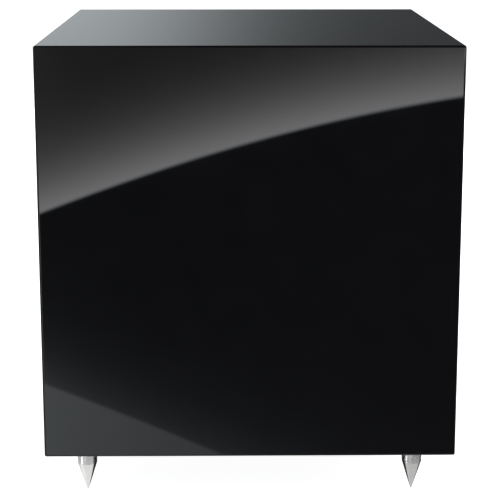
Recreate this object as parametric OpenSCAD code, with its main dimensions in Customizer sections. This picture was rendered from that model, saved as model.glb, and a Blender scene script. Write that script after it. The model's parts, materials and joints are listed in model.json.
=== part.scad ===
// Powered subwoofer: a closed lacquered cabinet on four levelling spikes, with a
// driver that fires down through the bottom baffle and an amplifier in the rear panel.
// Millimetres. +Z is up, the front faces -Y, and the origin is on the floor under the
// middle of the whole object.

/* [Cabinet] */
// Width across the side panels
cab_w = 370; // [350:5:400]
// Depth from the front face to the rear face
cab_d = 400; // [390:5:440]
// Height of the box, without the spikes
cab_h = 370; // [360:5:400]
// Thickness of every cabinet panel
panel_t = 20; // [18:1:22]
// Radius on every outer edge of the cabinet
edge_r = 2; // [2:1:6]

/* [Driver] */
// Outer radius of the basket flange
flange_r = 152; // [150:1:154]
// Cone travel each way from rest
cone_travel = 12; // [8:1:12]
// Radius of the ring magnet
magnet_r = 76; // [72:1:80]
// Number of bolts through the basket flange
driver_bolt_count = 8; // [6:2:8]

/* [Amplifier] */
// Width of the amplifier plate
plate_w = 240; // [236:1:246]
// Height of the amplifier plate
plate_h = 250; // [246:1:256]
// Thickness of the amplifier plate
plate_t = 3; // [3:0.5:4]
// Radius of both control knobs
knob_r = 10; // [9:0.5:12]
// How far the knobs and the heatsink fins stand behind the rear face
rear_reach = 12; // [11:1:14]
// Fins on the heatsink
fin_count = 20; // [14:1:24]

/* [Spikes] */
// Clear height under the cabinet
spike_h = 45; // [43:1:55]
// Radius of a spike's collar
spike_r = 9; // [7:0.5:9]
// Distance of each spike from the cabinet's side and front or rear face
spike_inset = 35; // [32:1:45]
// Levelling travel of each spike
spike_travel = 10; // [6:1:10]

/* [Hidden] */
$fn = 64;

// cabinet: where its faces lie
front_y = -(cab_d + rear_reach) / 2;
rear_y = front_y + cab_d;
mid_y = (front_y + rear_y) / 2;
base_z = spike_h;
top_z = base_z + cab_h;
mid_z = (base_z + top_z) / 2;
in_w = cab_w - 2 * panel_t;
in_d = cab_d - 2 * panel_t;
in_h = cab_h - 2 * panel_t;
past = 1; // how far a cutting shape runs past a face

// driver: heights are above the flange's outer face, radii are from its axis
flange_t = 5;
seal_t = 2;
rebate_t = flange_t + seal_t;
rebate_gap = 1;
cutout_r = flange_r - 10;
spoke_count = 6;
flange_in_r = flange_r - 24;
bolt_circle_r = flange_r - 6;
driver_bolt_r = 2.5;
driver_bolt_l = 26;
t_nut_r = 3.6;
bolt_hole_r = driver_bolt_r + 0.25;
basket_wall_r = cutout_r - 2;
basket_seat_r = 86; // outer radius of the basket's two upper rings
roll_r = 11; // half roll of the surround
roll_mid_r = flange_in_r - 10;
surround_t = 1.5;
lip_w = 9;
cone_r = roll_mid_r - roll_r;
cone_t = 1.6;
cone_depth = 47;
cap_r = 44.6;
cap_h = 14;
former_r = 31;
former_t = 0.4;
coil_t = 1.4;
coil_over = cone_travel * 2 / 3; // how far the winding runs past the top plate each way
spider_z = 57;
spider_r = 74;
shelf_z = 58;
shelf_t = 4;
plate_z = 76; // front of the magnet system
top_plate_t = 8;
magnet_t = cone_travel + 14;
back_t = 10;
magnet_bore_r = 38;
pole_r = 30;
vent_r = 12;
terminal_y = 92; // from the driver's axis towards the rear
tab_x = 9;

// amplifier: positions are seen in the X-Z plane, from the middle of its plate
amp_z = mid_z + 8;
amp_seal_t = 1;
plate_in_y = rear_y - plate_t;
amp_rebate_t = plate_t + amp_seal_t;
amp_gap = 0.4;
amp_cut_w = plate_w - 24;
amp_cut_h = plate_h - 24;
amp_screw_x = plate_w / 2 - 6;
amp_screw_z = plate_h / 2 - 6;
amp_screw_r = 1.7;
amp_depth = 84;
cover_t = 1.5;
cover_w = amp_cut_w - 4;
cover_h = amp_cut_h - 4;
control_z = 18;
volume_x = 74;
crossover_x = 18;
phase_x = -36;
mode_x = -82;
rca_z = -38;
rca_xs = [84, 58, 32];
led_pos = [-59, -30];
inlet_pos = [-62, -86];
rocker_pos = [-14, -86];
sink_z = 84;
sink_w = 196;
sink_h = 60;
board_z = 50; // top face of the main board
board_t = 1.6;

// controls
bush_r = 3.5;
shaft_r = 3;
run_gap = 0.05; // radial clearance of every running fit
lever_w = 4.6;
lever_travel = 4;
move_gap = 0.4; // clearance round every sliding or rocking piece
rocker_r = 11;
rocker_w = 12.4;
rocker_in = 3; // how far the rocker's axis lies inside the rear face
rocker_tilt = 12; // lean of the rocker each way from its middle
barrel_r = 4.15;
barrel_l = 8.5;
inlet_w = 27.4;
inlet_h = 33.4;
inlet_rim_t = 3; // how far the inlet stands behind the plate
socket_up = 6; // socket's middle above the inlet's
socket_depth = 20.5;
pin_l = 14.5; // length of the pins inside the socket
pin_back_y = -32;
drawer_down = 10.5; // fuse drawer's middle below the inlet's
drawer_w = 21.8;
drawer_h = 7.8;
drawer_l = 18;

// spikes
stud_r = 4;
insert_r = 6;
insert_l = 18;
insert_rim_t = 1.5;
nut_af = 13;
nut_t = 5;
stop_gap = 0.3;
cone_h = 26.5; // the pointed part
tip_r = 0.6;
spike_x = cab_w / 2 - spike_inset;
spike_y = cab_d / 2 - spike_inset;

// wiring inside the cabinet
wire_r = 1.6;
wire_gap = 3; // either side of the route, to the two wires' centres
lead_r = 0.8;
wire_route = [
    [66, rear_y - 76, amp_z + 48], [66, rear_y - 76, amp_z + 36], [66, rear_y - 77, amp_z + 20],
    [66, rear_y - 82, amp_z + 8], [66, rear_y - 88, amp_z - 1], [65, rear_y - 96, amp_z - 10],
    [62, rear_y - 102, amp_z - 24], [57, rear_y - 106, amp_z - 44], [48, rear_y - 108, amp_z - 66],
    [36, rear_y - 108, amp_z - 82], [26, rear_y - 108, amp_z - 92], [18, rear_y - 108, amp_z - 99],
    [11, mid_y + terminal_y, base_z + 86], [tab_x, mid_y + terminal_y, base_z + plate_z]
];
parting = 8; // route point where the two wires begin to part
lead_route = [
    [tab_x, 89, 57], [tab_x, 89, 54.5], [tab_x, 87, 51.5], [8.5, 80, 47], [8, 68, 44.5],
    [7.5, 57, 44], [7, 48, 43.8], [6.5, 41.5, 42.6]
];
wire_sides = 8;
steps = 4; // tube rings from one route point to the next

// ---------- shapes and places shared by several pieces ----------

// Flat rectangle with round corners
module round_rect(w, h, r) {
    square([w - 2 * r, h], center = true);
    square([w, h - 2 * r], center = true);
    for (sx = [-1, 1], sz = [-1, 1])
        translate([sx * (w / 2 - r), sz * (h / 2 - r)]) circle(r);
}

// Upright plate facing the rear, from y0 to y1 behind the rear face
module rear_slab(w, h, y0, y1, r = 0.5) {
    translate([0, y1, 0]) rotate([90, 0, 0]) linear_extrude(y1 - y0) round_rect(w, h, r);
}

// Rod along Y, from y0 to y1
module rear_rod(r, y0, y1) {
    translate([0, y0, 0]) rotate([-90, 0, 0]) cylinder(r = r, h = y1 - y0);
}

// Puts a shape on the amplifier plate: y = 0 is its outer face
module on_amp(x, z) {
    translate([x, rear_y, amp_z + z]) children();
}

// Puts a shape on the driver's axis: z = 0 is the flange's outer face
module on_driver() {
    translate([0, mid_y, base_z]) children();
}

// Ring about Z, from z0 to z1
module ring(r_out, r_in, z0, z1) {
    translate([0, 0, z0]) difference() {
        cylinder(r = r_out, h = z1 - z0);
        translate([0, 0, -past]) cylinder(r = r_in, h = z1 - z0 + 2 * past);
    }
}

module at_driver_bolts() {
    for (i = [0 : driver_bolt_count - 1])
        rotate([0, 0, (i + 0.5) * 360 / driver_bolt_count]) translate([bolt_circle_r, 0, 0]) children();
}

module at_spikes() {
    for (sx = [-1, 1], sy = [-1, 1])
        translate([sx * spike_x, mid_y + sy * spike_y, base_z]) children();
}

module at_amp_screws() {
    for (sx = [-1, 1], k = [-1, -1 / 3, 1 / 3, 1])
        on_amp(sx * amp_screw_x, k * amp_screw_z) children();
    for (sz = [-1, 1]) on_amp(0, sz * amp_screw_z) children();
}

// ---------- cabinet ----------

module cabinet_block() {
    translate([0, mid_y, mid_z]) intersection() {
        linear_extrude(cab_h, center = true) round_rect(cab_w, cab_d, edge_r);
        rotate([90, 0, 0]) linear_extrude(cab_d, center = true) round_rect(cab_w, cab_h, edge_r);
        rotate([90, 0, 90]) linear_extrude(cab_w, center = true) round_rect(cab_d, cab_h, edge_r);
    }
}

// The part of the cabinet between two corners
module cabinet_part(low, high) {
    intersection() {
        cabinet_block();
        translate(low) cube(high - low);
    }
}

module front_panel() {
    color("black")
    translate([-in_w / 2, front_y, base_z + panel_t]) cube([in_w, panel_t, in_h]);
}

module rear_panel() {
    color("black")
    difference() {
        translate([-in_w / 2, rear_y - panel_t, base_z + panel_t]) cube([in_w, panel_t, in_h]);
        on_amp(0, 0) rear_slab(amp_cut_w, amp_cut_h, -panel_t - past, past, 8);
        on_amp(0, 0) rear_slab(plate_w + 2 * amp_gap, plate_h + 2 * amp_gap, -amp_rebate_t, past, 6);
        at_amp_screws() rear_rod(amp_screw_r, -amp_rebate_t - 12, past);
    }
}

module side_panel(side) {
    color("black")
    cabinet_part(
        [side > 0 ? in_w / 2 : -cab_w / 2 - past, front_y - past, base_z + panel_t],
        [side > 0 ? cab_w / 2 + past : -in_w / 2, rear_y + past, top_z - panel_t]
    );
}

module left_side_panel() { side_panel(-1); }

module right_side_panel() { side_panel(1); }

module top_panel() {
    color("black")
    cabinet_part(
        [-cab_w / 2 - past, front_y - past, top_z - panel_t],
        [cab_w / 2 + past, rear_y + past, top_z + past]
    );
}

module bottom_baffle() {
    color("black")
    difference() {
        cabinet_part(
            [-cab_w / 2 - past, front_y - past, base_z - past],
            [cab_w / 2 + past, rear_y + past, base_z + panel_t]
        );
        on_driver() translate([0, 0, -past]) {
            cylinder(r = cutout_r, h = panel_t + 2 * past);
            cylinder(r = flange_r + rebate_gap, h = rebate_t + past);
            at_driver_bolts() cylinder(r = t_nut_r, h = panel_t + 2 * past);
        }
        at_spikes() translate([0, 0, -past]) cylinder(r = insert_r, h = insert_l + past);
    }
}

// Level frame glued to the front and the sides, above the driver
module window_brace() {
    brace_z = base_z + 155;
    brace_d = in_d - 104;
    bar = 38;
    window_w = (in_w - 3 * bar) / 2;
    color("tan")
    translate([0, front_y + panel_t, brace_z]) difference() {
        translate([-in_w / 2, 0, 0]) cube([in_w, brace_d, 16]);
        for (side = [-1, 1])
            translate([side * (window_w + bar) / 2, brace_d / 2, -past])
                linear_extrude(16 + 2 * past) round_rect(window_w, brace_d - 2 * bar, 20);
    }
}

module damping_wadding() {
    pad_t = 16;
    pad_d = in_d - 96;
    low_z = base_z + 175;
    pad_h = top_z - panel_t - low_z;
    color("ivory") {
        translate([-in_w / 2 + pad_t, front_y + panel_t + pad_t, top_z - panel_t - pad_t])
            cube([in_w - 2 * pad_t, pad_d - pad_t, pad_t]);
        translate([-in_w / 2 + pad_t, front_y + panel_t, low_z]) cube([in_w - 2 * pad_t, pad_t, pad_h]);
        for (side = [0, 1])
            translate([side * (in_w - pad_t) - in_w / 2, front_y + panel_t, low_z])
                cube([pad_t, pad_d, pad_h]);
    }
}

// ---------- driver ----------

module driver_basket() {
    spoke_w = 16;
    spoke_t = 9;
    wall_t = 5;
    wall_h = 16;
    seat_t = 6; // ring that the magnet system is screwed to
    seat_low = plate_z - seat_t;
    spoke_in_r = 75;
    color("dimgray")
    on_driver() {
        difference() {
            union() {
                ring(flange_r, flange_in_r, 0, flange_t);
                ring(basket_wall_r, basket_wall_r - wall_t, 0, wall_h);
            }
            at_driver_bolts() translate([0, 0, -past]) cylinder(r = bolt_hole_r, h = flange_t + 2 * past);
        }
        ring(basket_seat_r, 64, shelf_z, shelf_z + shelf_t);
        ring(basket_seat_r, 52, seat_low, plate_z);
        for (i = [0 : spoke_count - 1])
            rotate([90, 0, i * 360 / spoke_count])
                linear_extrude(spoke_w, center = true) polygon([
                    [basket_wall_r, flange_t], [basket_wall_r, wall_h],
                    [basket_seat_r, seat_low - shelf_t], [basket_seat_r, plate_z],
                    [56, plate_z], [56, seat_low],
                    [spoke_in_r, seat_low], [spoke_in_r, shelf_z],
                    [basket_wall_r - spoke_t, spoke_t], [basket_wall_r - spoke_t, flange_t]
                ]);
    }
}

module driver_gasket() {
    color("black")
    on_driver() difference() {
        ring(flange_r, cutout_r, flange_t, rebate_t);
        at_driver_bolts() translate([0, 0, flange_t - past])
            cylinder(r = bolt_hole_r, h = seal_t + 2 * past);
    }
}

module surround_trim_ring() {
    color("black")
    on_driver() ring(140, flange_in_r + 1.3, -surround_t - 3, -surround_t);
}

module surround() {
    color("black")
    on_driver() rotate_extrude() {
        translate([flange_in_r - 0.4, -surround_t]) square([lip_w + 1, surround_t]);
        translate([cone_r - lip_w + 1, -surround_t]) square([lip_w - 0.6, surround_t]);
        intersection() {
            difference() {
                translate([roll_mid_r, 0]) circle(roll_r);
                translate([roll_mid_r, 0]) circle(roll_r - surround_t);
            }
            translate([cone_r - past, -2 * roll_r]) square([2 * roll_r + 2 * past, 2 * roll_r]);
        }
    }
}

module cone() {
    neck_r = former_r;
    rim_in_r = cone_r - 8;
    color("dimgray")
    on_driver() rotate_extrude() polygon([
        [cone_r, 0], [cone_r, cone_t], [rim_in_r + 0.8, cone_t], [neck_r + 1.5, cone_depth],
        [neck_r + 1.5, cone_depth + 3], [neck_r, cone_depth + 3], [neck_r, cone_depth - 1], [rim_in_r, 0]
    ]);
}

module dust_cap() {
    cap_ball_r = (cap_r * cap_r + cap_h * cap_h) / (2 * cap_h);
    apex_z = 21.8;
    color("dimgray")
    on_driver() rotate_extrude() intersection() {
        translate([0, apex_z + cap_ball_r]) difference() {
            circle(cap_ball_r);
            circle(cap_ball_r - 1.5);
        }
        square([cap_r, apex_z + cap_h + 2]);
    }
}

module voice_coil_former() {
    color("goldenrod")
    on_driver() ring(former_r, former_r - former_t, cone_depth - 1, plate_z + top_plate_t + coil_over + 1);
}

module voice_coil() {
    color("chocolate")
    on_driver() ring(former_r + coil_t, former_r, plate_z - coil_over, plate_z + top_plate_t + coil_over);
}

module spider() {
    waves = 5;
    wave_h = 2.2;
    first_r = 36;
    last_r = 66;
    points = 40;
    cloth_t = 1;
    collar_r = 33; // outside of the collar glued to the former
    collar_h = 2.5;
    function wave(k) = wave_h * sin(360 * waves * k / points);
    function wave_r(k) = first_r + (last_r - first_r) * k / points;
    color("darkkhaki")
    on_driver() rotate_extrude() {
        polygon(concat(
            [for (k = [0 : points]) [wave_r(k), spider_z + wave(k)]],
            [[spider_r, spider_z], [spider_r, spider_z + cloth_t]],
            [for (k = [points : -1 : 0]) [wave_r(k), spider_z + cloth_t + wave(k)]],
            [
                [former_r + run_gap, spider_z + cloth_t],
                [former_r + run_gap, spider_z + cloth_t - collar_h],
                [collar_r, spider_z + cloth_t - collar_h],
                [collar_r, spider_z]
            ]
        ));
    }
}

module top_plate() {
    color("silver")
    on_driver() ring(magnet_r + 2, former_r + coil_t + 0.8, plate_z, plate_z + top_plate_t);
}

module ring_magnet() {
    color("darkslategray")
    on_driver() ring(magnet_r, magnet_bore_r, plate_z + top_plate_t, plate_z + top_plate_t + magnet_t);
}

module yoke() {
    pole_low = plate_z - 2;
    back_z = plate_z + top_plate_t + magnet_t;
    color("silver")
    on_driver() difference() {
        union() {
            translate([0, 0, back_z]) cylinder(r = magnet_r, h = back_t);
            translate([0, 0, pole_low]) cylinder(r = pole_r, h = back_z - pole_low + past);
        }
        translate([0, 0, pole_low - past]) cylinder(r = vent_r, h = back_z + back_t - pole_low + 2 * past);
    }
}

// Insulating board on the basket's shelf, with two tabs through it
module driver_terminals() {
    board_low = shelf_z + shelf_t;
    color("goldenrod")
    on_driver() {
        translate([-17, 79, board_low]) cube([34, 25, 2]);
        for (side = [-1, 1])
            translate([side * tab_x - 3.2, terminal_y - 0.4, board_low + 1]) cube([6.4, 0.8, 13]);
        for (side = [-1, 1])
            translate([side * tab_x - 2, 88, shelf_z - 1]) cube([4, 2, 5.5]);
    }
}

module driver_bolts() {
    head_t = 5;
    color("black")
    on_driver() at_driver_bolts() difference() {
        union() {
            translate([0, 0, -head_t]) cylinder(r = 4.25, h = head_t);
            translate([0, 0, -past]) cylinder(r = driver_bolt_r, h = driver_bolt_l + past);
        }
        translate([0, 0, -head_t - past]) cylinder(r = 2.3, h = 2.5 + past, $fn = 6);
    }
}

module driver_t_nuts() {
    color("silver")
    on_driver() at_driver_bolts() difference() {
        union() {
            translate([0, 0, panel_t]) cylinder(r = 8.5, h = 1.5);
            translate([0, 0, panel_t - 10]) cylinder(r = t_nut_r, h = 10 + past);
        }
        translate([0, 0, panel_t - 10 - past]) cylinder(r = driver_bolt_r, h = 12.5 + past);
    }
}

// ---------- amplifier ----------

module amp_plate() {
    color("black")
    difference() {
        on_amp(0, 0) rear_slab(plate_w, plate_h, -plate_t, 0, 6);
        for (x = [volume_x, crossover_x]) on_amp(x, control_z)
            rear_rod(bush_r + 0.1, -plate_t - past, past);
        for (x = [phase_x, mode_x]) on_amp(x, control_z)
            rear_slab(lever_w + lever_travel + 2 * move_gap, lever_w + 2 * move_gap, -plate_t - past, past);
        for (x = rca_xs) on_amp(x, rca_z) rear_rod(5.3, -plate_t - past, past);
        on_amp(led_pos[0], led_pos[1]) rear_rod(1.6, -plate_t - past, past);
        on_amp(inlet_pos[0], inlet_pos[1]) rear_slab(inlet_w, inlet_h, -plate_t - past, past);
        on_amp(rocker_pos[0], rocker_pos[1]) rear_slab(19, 28, -plate_t - past, past);
        at_amp_screws() rear_rod(amp_screw_r + 0.3, -plate_t - past, past);
    }
}

module amp_gasket() {
    color("dimgray")
    difference() {
        on_amp(0, 0) rear_slab(plate_w, plate_h, -amp_rebate_t, -plate_t, 6);
        on_amp(0, 0) rear_slab(amp_cut_w, amp_cut_h, -amp_rebate_t - past, past, 8);
        at_amp_screws() rear_rod(amp_screw_r + 0.3, -amp_rebate_t - past, past);
    }
}

// Pan-head screws with a cross recess
module amp_screws() {
    head_t = 2;
    color("black")
    at_amp_screws() difference() {
        union() {
            rear_rod(amp_screw_r, -amp_rebate_t - 12, past);
            rear_rod(3.6, 0, head_t);
        }
        for (turn = [45, 135])
            rotate([0, turn, 0]) translate([-2, head_t - 1.2, -0.4]) cube([4, 1.2 + past, 0.8]);
    }
}

// Steel box that closes the amplifier off from the inside of the cabinet
module amp_cover() {
    color("silver")
    difference() {
        on_amp(0, 0) rear_slab(cover_w, cover_h, -plate_t - amp_depth, -plate_t, 6);
        on_amp(0, 0) rear_slab(
            cover_w - 2 * cover_t, cover_h - 2 * cover_t, -plate_t - amp_depth + cover_t, past, 4.5
        );
        on_amp(66, -1) rear_rod(9, -plate_t - amp_depth - past, -plate_t - amp_depth + cover_t + past);
    }
}

// Comb of upright fins on the outside of the plate
module heatsink() {
    fin_t = 2.2;
    root_t = 3;
    pitch = (sink_w - fin_t) / (fin_count - 1);
    color("black")
    on_amp(0, sink_z) translate([0, 0, -sink_h / 2]) linear_extrude(sink_h) {
        translate([-sink_w / 2, 0]) square([sink_w, root_t]);
        for (i = [0 : fin_count - 1])
            translate([-sink_w / 2 + i * pitch, 0]) square([fin_t, rear_reach]);
    }
}

module output_transistors() {
    color("black")
    for (x = [-63, -21, 21, 63]) on_amp(x, board_z) {
        translate([-8, -plate_t - 5, 7]) cube([16, 5, 21]);
        for (k = [-1, 0, 1])
            translate([k * 5.4 - 0.6, -plate_t - 3.3, 0]) cube([1.2, 0.6, 7 + past]);
    }
}

module main_board() {
    color("darkgreen")
    on_amp(0, board_z - board_t)
        translate([-96, -plate_t - 77, 0]) cube([192, 76, board_t]);
}

// Angle brackets that hold the main board to the plate
module board_brackets() {
    color("silver")
    for (x = [-42, 42]) on_amp(x, board_z - board_t) {
        translate([-8, -plate_t - 60, -2]) cube([16, 60, 2]);
        translate([-8, -plate_t - 2, -14]) cube([16, 2, 14]);
    }
}

// Toroid standing on the main board, under its clamping disc
module mains_transformer() {
    ring_r = 34;
    bore_r = 11;
    corner_r = 6;
    core_h = 34;
    color("goldenrod")
    on_amp(-50, board_z) translate([0, -plate_t - 42, 0]) {
        rotate_extrude() translate([(ring_r + bore_r) / 2, core_h / 2])
            round_rect(ring_r - bore_r, core_h, corner_r);
        translate([0, 0, core_h]) cylinder(r = 20, h = 2);
    }
}

module reservoir_capacitors() {
    color("navy")
    for (x = [22, 52], y = [-26, -58])
        on_amp(x, board_z) translate([0, y, 0]) cylinder(r = 12.5, h = 40);
}

module control_board() {
    color("darkgreen")
    difference() {
        on_amp(0, -10) rear_slab(208, 86, -14, -12.4, 2);
        on_amp(led_pos[0], led_pos[1]) rear_rod(1, -14 - past, -12);
    }
}

module rca_barrels() {
    bore = 3.3;
    color("gold")
    for (x = rca_xs) on_amp(x, rca_z) difference() {
        union() {
            rear_rod(barrel_r - 0.15, -4, 1);
            rear_rod(barrel_r, 1, 1 + barrel_l);
        }
        rear_rod(bore, -4 - past, 2 + barrel_l);
    }
}

// Moulded body, coloured ring and centre plug of each phono jack
module rca_insulators() {
    color("white")
    for (x = rca_xs) on_amp(x, rca_z) {
        difference() {
            union() {
                rear_slab(18, 18, -12.4, -plate_t, 1);
                rear_rod(5.2, -plate_t - past, 1);
            }
            rear_rod(barrel_r - 0.15, -4, 1 + past);
        }
        difference() {
            rear_rod(3.3, -4 - past, barrel_l);
            rear_rod(1.65, 0, barrel_l + past);
        }
    }
}

// Two rotary controls: body, threaded bush and its nut
module potentiometers() {
    color("silver")
    for (x = [volume_x, crossover_x]) on_amp(x, control_z) {
        difference() {
            union() {
                rear_rod(8.2, -12.4, -4);
                rear_rod(bush_r, -4 - past, 3);
            }
            rear_rod(shaft_r + run_gap, -10, 3 + past);
        }
        difference() {
            rotate([-90, 0, 0]) cylinder(r = 5.6, h = 2, $fn = 6);
            rear_rod(bush_r + run_gap, -past, 2 + past);
        }
    }
}

module control_shaft() {
    color("silver")
    rear_rod(shaft_r, -9.6, rear_reach - 2);
}

// Fluted knob with a pointer groove, hollow underneath to clear the bush nut
module control_knob() {
    flutes = 24;
    color("black")
    difference() {
        union() {
            rear_rod(knob_r, 1, rear_reach - 1);
            rear_rod(knob_r - 1, rear_reach - 1 - past, rear_reach);
        }
        rear_rod(7.2, 0, 3.6);
        rear_rod(shaft_r, 0, rear_reach - 2);
        for (i = [1 : flutes - 1])
            rotate([0, i * 360 / flutes, 0])
                translate([0, 0, knob_r + 0.35]) rear_rod(0.8, 3, rear_reach + past);
        translate([-0.6, rear_reach - 0.6, 4]) cube([1.2, 1, knob_r]);
    }
}

module volume_shaft() { on_amp(volume_x, control_z) control_shaft(); }

module crossover_shaft() { on_amp(crossover_x, control_z) control_shaft(); }

module volume_knob() { on_amp(volume_x, control_z) control_knob(); }

module crossover_knob() { on_amp(crossover_x, control_z) control_knob(); }

module slide_switches() {
    pocket_w = lever_w + lever_travel + 2 * move_gap;
    color("dimgray")
    for (x = [phase_x, mode_x]) on_amp(x, control_z) difference() {
        rear_slab(20, 9, -12.4, -plate_t);
        rear_slab(pocket_w, lever_w + 2 * move_gap, -8, 0);
    }
}

// Lever of a slide switch, at the +X end of its slot
module slide_lever() {
    color("white")
    translate([lever_travel / 2, 0, 0]) {
        rear_slab(lever_w, lever_w, -7.6, 0.6, 0.6);
        for (k = [-1, 0, 1]) translate([k * 1.7, 0, 0]) rear_slab(1, lever_w, -past, 2.4, 0.3);
        rear_slab(lever_w, lever_w, 0, 1.6, 0.6);
    }
}

module phase_lever() { on_amp(phase_x, control_z) slide_lever(); }

module mode_lever() { on_amp(mode_x, control_z) slide_lever(); }

// Outline of the mains socket, with its two cut corners
module socket_outline(grow = 0) {
    w = 12.2 + grow;
    h = 8.2 + grow;
    polygon([[-w, -h], [w, -h], [w, h - 4], [w - 4, h], [-w + 4, h], [-w, h - 4]]);
}

module at_inlet_pins() {
    for (p = [[-7, -2.2], [7, -2.2], [0, 2.2]])
        on_amp(inlet_pos[0] + p[0], inlet_pos[1] + socket_up + p[1]) children();
}

module mains_inlet() {
    color("black")
    difference() {
        on_amp(inlet_pos[0], inlet_pos[1]) difference() {
            union() {
                rear_slab(31, 37, 0, inlet_rim_t, 2);
                rear_slab(inlet_w - 0.2, inlet_h - 0.2, -24, past);
            }
            translate([0, inlet_rim_t + past, socket_up])
                rotate([90, 0, 0]) linear_extrude(socket_depth + past) socket_outline();
            translate([0, 0, -drawer_down]) rear_slab(
                drawer_w + 2 * move_gap, drawer_h + 2 * move_gap,
                inlet_rim_t - drawer_l - 1, inlet_rim_t + past, 0.6
            );
        }
        at_inlet_pins() rear_slab(2, 4, pin_back_y, inlet_rim_t - socket_depth + past, 0.3);
    }
}

module inlet_pins() {
    color("silver")
    at_inlet_pins() rear_slab(2, 4, pin_back_y, inlet_rim_t - socket_depth + pin_l, 0.3);
}

// Tray for the fuse, with a finger lip under its front
module fuse_drawer() {
    color("black")
    on_amp(inlet_pos[0], inlet_pos[1] - drawer_down) {
        difference() {
            rear_slab(drawer_w, drawer_h, inlet_rim_t - drawer_l, inlet_rim_t, 0.4);
            translate([-10.4, -13, -2.4]) cube([20.8, 6, 8]);
        }
        translate([-4, 2.5, -0.6]) cube([8, 1.7, 1.2]);
    }
}

// Glass cartridge fuse lying across the drawer
module fuse() {
    color("silver")
    on_amp(inlet_pos[0], inlet_pos[1] - drawer_down) translate([-10, -10, 0.2])
        rotate([0, 90, 0]) {
            cylinder(r = 2.5, h = 5);
            translate([0, 0, 5]) cylinder(r = 2.3, h = 10);
            translate([0, 0, 15]) cylinder(r = 2.5, h = 5);
        }
}

module rocker_frame() {
    color("black")
    on_amp(rocker_pos[0], rocker_pos[1]) difference() {
        union() {
            rear_slab(22, 31, 0, 2, 2);
            rear_slab(18.8, 27.8, -16, past);
        }
        translate([-rocker_w / 2 - move_gap, -rocker_in, 0]) rotate([0, 90, 0])
            cylinder(r = rocker_r + move_gap, h = rocker_w + 2 * move_gap);
    }
}

// Rocker that turns in the frame's round pocket, with its upper end pressed in at rest
module power_rocker() {
    color("black")
    on_amp(rocker_pos[0], rocker_pos[1]) translate([0, -rocker_in, 0])
        rotate([rocker_tilt, 0, 0]) rotate([90, 0, 90]) linear_extrude(rocker_w, center = true)
            intersection() {
                circle(rocker_r);
                polygon([[-7, -12], [9.5, -12], [7, 0], [9.5, 12], [-7, 12]]);
            }
}

module status_led() {
    color("dodgerblue")
    on_amp(led_pos[0], led_pos[1]) {
        rear_rod(1.5, -12.4, 0.4);
        translate([0, 0.4, 0]) intersection() {
            sphere(1.5);
            translate([0, 1.5, 0]) cube(3.2, center = true);
        }
    }
}

// ---------- wiring ----------

// Point a share t of the way from route point i to the next, on a smooth curve
function route_point(route, i, t) =
    let (
        n = len(route) - 1,
        a = route[max(i - 1, 0)],
        b = route[i],
        c = route[min(i + 1, n)],
        d = route[min(i + 2, n)]
    )
    0.5 * (2 * b + (c - a) * t + (2 * a - 5 * b + 4 * c - d) * t * t + (3 * b - a - 3 * c + d) * t * t * t);

function smooth_route(route) = concat(
    [for (i = [0 : len(route) - 2], s = [0 : steps - 1]) route_point(route, i, s / steps)],
    [route[len(route) - 1]]
);

// Direction of a path at point i
function heading(path, i) =
    let (d = path[min(i + 1, len(path) - 1)] - path[max(i - 1, 0)]) d / norm(d);

// Tube of radius r along a path that never runs along X
module tube(path, r) {
    rings = [
        for (i = [0 : len(path) - 1])
            let (
                ahead = heading(path, i),
                flat = cross(ahead, [1, 0, 0]),
                side = flat / norm(flat),
                up = cross(side, ahead)
            )
            for (k = [0 : wire_sides - 1])
                path[i] + r * (cos(360 * k / wire_sides) * side + sin(360 * k / wire_sides) * up)
    ];
    walls = [
        for (i = [0 : len(path) - 2], k = [0 : wire_sides - 1])
            let (next = (k + 1) % wire_sides)
            [
                i * wire_sides + k, i * wire_sides + next,
                (i + 1) * wire_sides + next, (i + 1) * wire_sides + k
            ]
    ];
    last = (len(path) - 1) * wire_sides;
    ends = [
        [for (k = [wire_sides - 1 : -1 : 0]) k],
        [for (k = [0 : wire_sides - 1]) last + k]
    ];
    polyhedron(rings, concat(walls, ends));
}

// Two insulated wires side by side that part for the two terminal tabs
module speaker_wires() {
    n = len(wire_route) - 1;
    color("crimson")
    for (side = [-1, 1])
        tube(smooth_route([
            for (i = [0 : n])
                let (p = wire_route[i], spread = max(0, (i - parting) / (n - parting)))
                [
                    (p[0] + side * wire_gap) * (1 - spread) + side * tab_x * spread,
                    p[1],
                    p[2]
                ]
        ]), wire_r);
}

module tinsel_leads() {
    color("silver")
    on_driver() for (side = [-1, 1])
        tube(smooth_route([for (p = lead_route) [side * p[0], p[1], p[2]]]), lead_r);
}

// ---------- feet ----------

// Turned spike: threaded stud, collar and point
module spike(sx, sy) {
    collar_top = -insert_rim_t - nut_t - stop_gap;
    point_top = cone_h - base_z;
    stud_top = spike_travel + 6.5; // leaves six millimetres of thread in at full travel
    color("silver")
    translate([sx * spike_x, mid_y + sy * spike_y, base_z]) rotate_extrude() polygon([
        [0, -base_z], [tip_r, -base_z], [spike_r - 0.6, point_top], [spike_r, point_top + 1],
        [spike_r, collar_top - 0.8], [spike_r - 0.8, collar_top], [stud_r, collar_top],
        [stud_r, stud_top - 1], [stud_r - 1, stud_top], [0, stud_top]
    ]);
}

module spike_front_left() { spike(-1, -1); }

module spike_front_right() { spike(1, -1); }

module spike_rear_left() { spike(-1, 1); }

module spike_rear_right() { spike(1, 1); }

module spike_inserts() {
    color("goldenrod")
    at_spikes() difference() {
        union() {
            cylinder(r = insert_r, h = insert_l);
            translate([0, 0, -insert_rim_t]) cylinder(r = 9.5, h = insert_rim_t);
        }
        translate([0, 0, -insert_rim_t - past])
            cylinder(r = stud_r + run_gap, h = insert_l + insert_rim_t + 2 * past);
    }
}

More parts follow.
